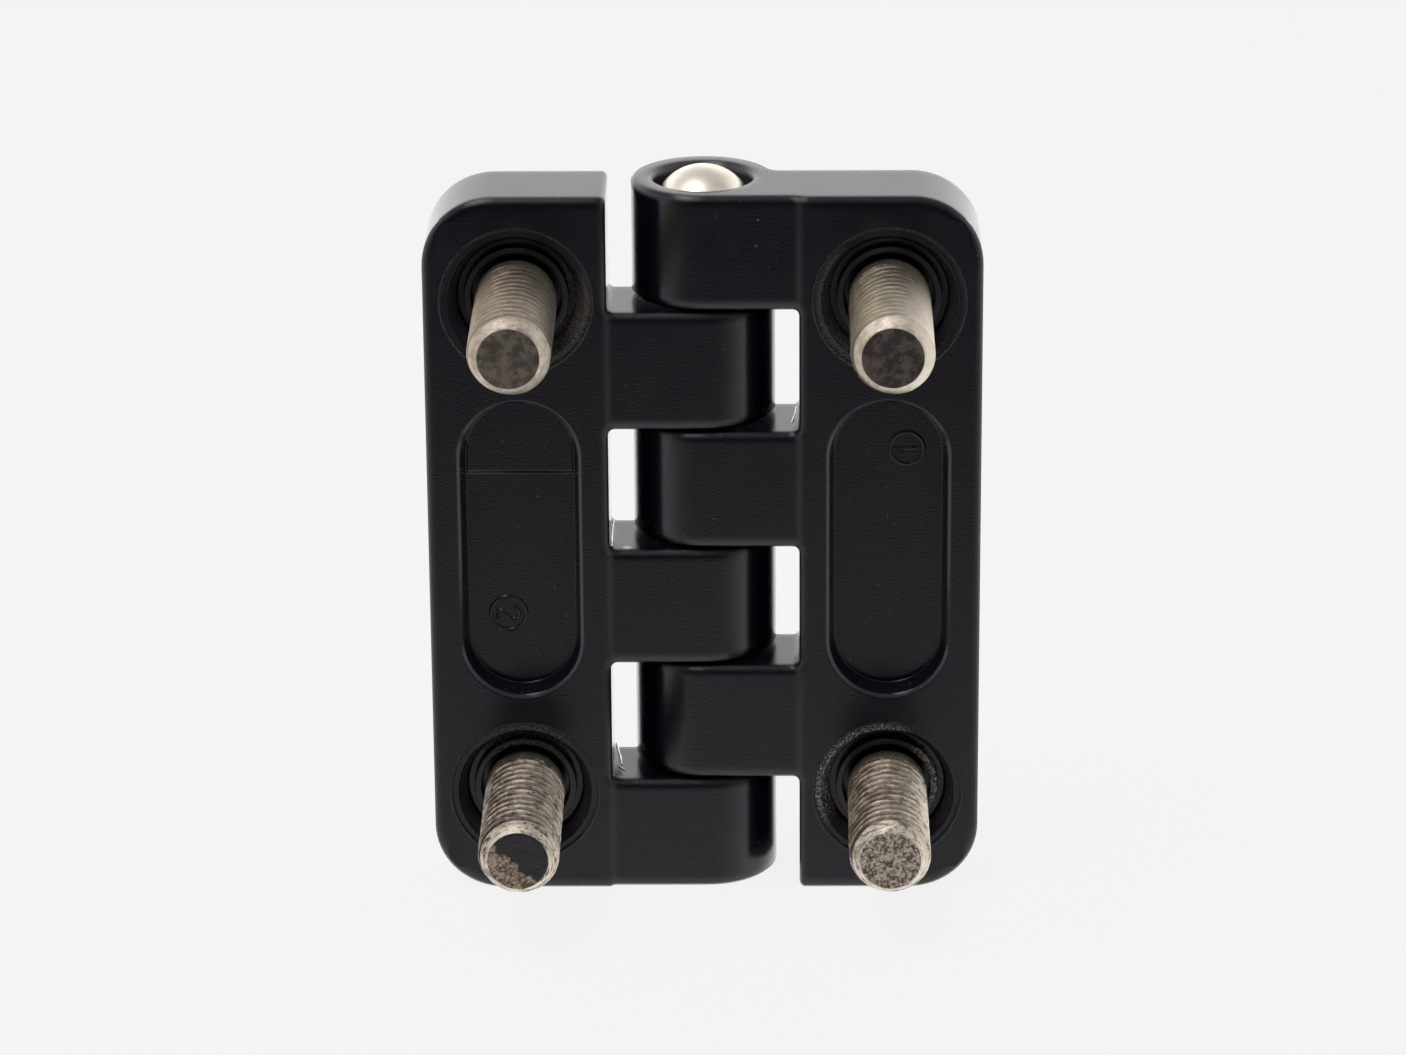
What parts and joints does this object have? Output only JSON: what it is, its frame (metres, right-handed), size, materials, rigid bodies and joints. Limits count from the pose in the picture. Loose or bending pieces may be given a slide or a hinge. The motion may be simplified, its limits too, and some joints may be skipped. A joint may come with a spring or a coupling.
{
  "type": "stud hinge",
  "caption": "Die-cast leaf hinge with interleaved knuckles on a domed steel pin; threaded studs behind each leaf bolt it through a door and its frame.",
  "frame": {"origin": "centre of the stud pattern, in the plane of the mounting faces", "axes": "+X across the leaves to the right one, as seen from the studs; +Y from the mounting faces to the front; +Z along the pin, up to its domed head"},
  "size_m": [0.054, 0.0314, 0.0731],
  "materials": {
    "coated_casting": "satin black coating on die-cast zinc",
    "stud_steel": "plated steel, dulled and slightly brown",
    "pin_steel": "bright turned stainless steel"
  },
  "bodies": {
    "right_side": {"right_leaf": "coated_casting", "hinge_pin": "pin_steel", "right_upper_stud": "stud_steel", "right_lower_stud": "stud_steel"},
    "left_side": {"left_leaf": "coated_casting", "left_upper_stud": "stud_steel", "left_lower_stud": "stud_steel"}
  },
  "joints": [
    {"name": "fold", "type": "hinge", "parent": "right_side", "child": "left_side", "pos_m": [0, 0.0074, 0], "axis": [0, 0, -1], "range_deg": [-60, 154]}
  ]
}
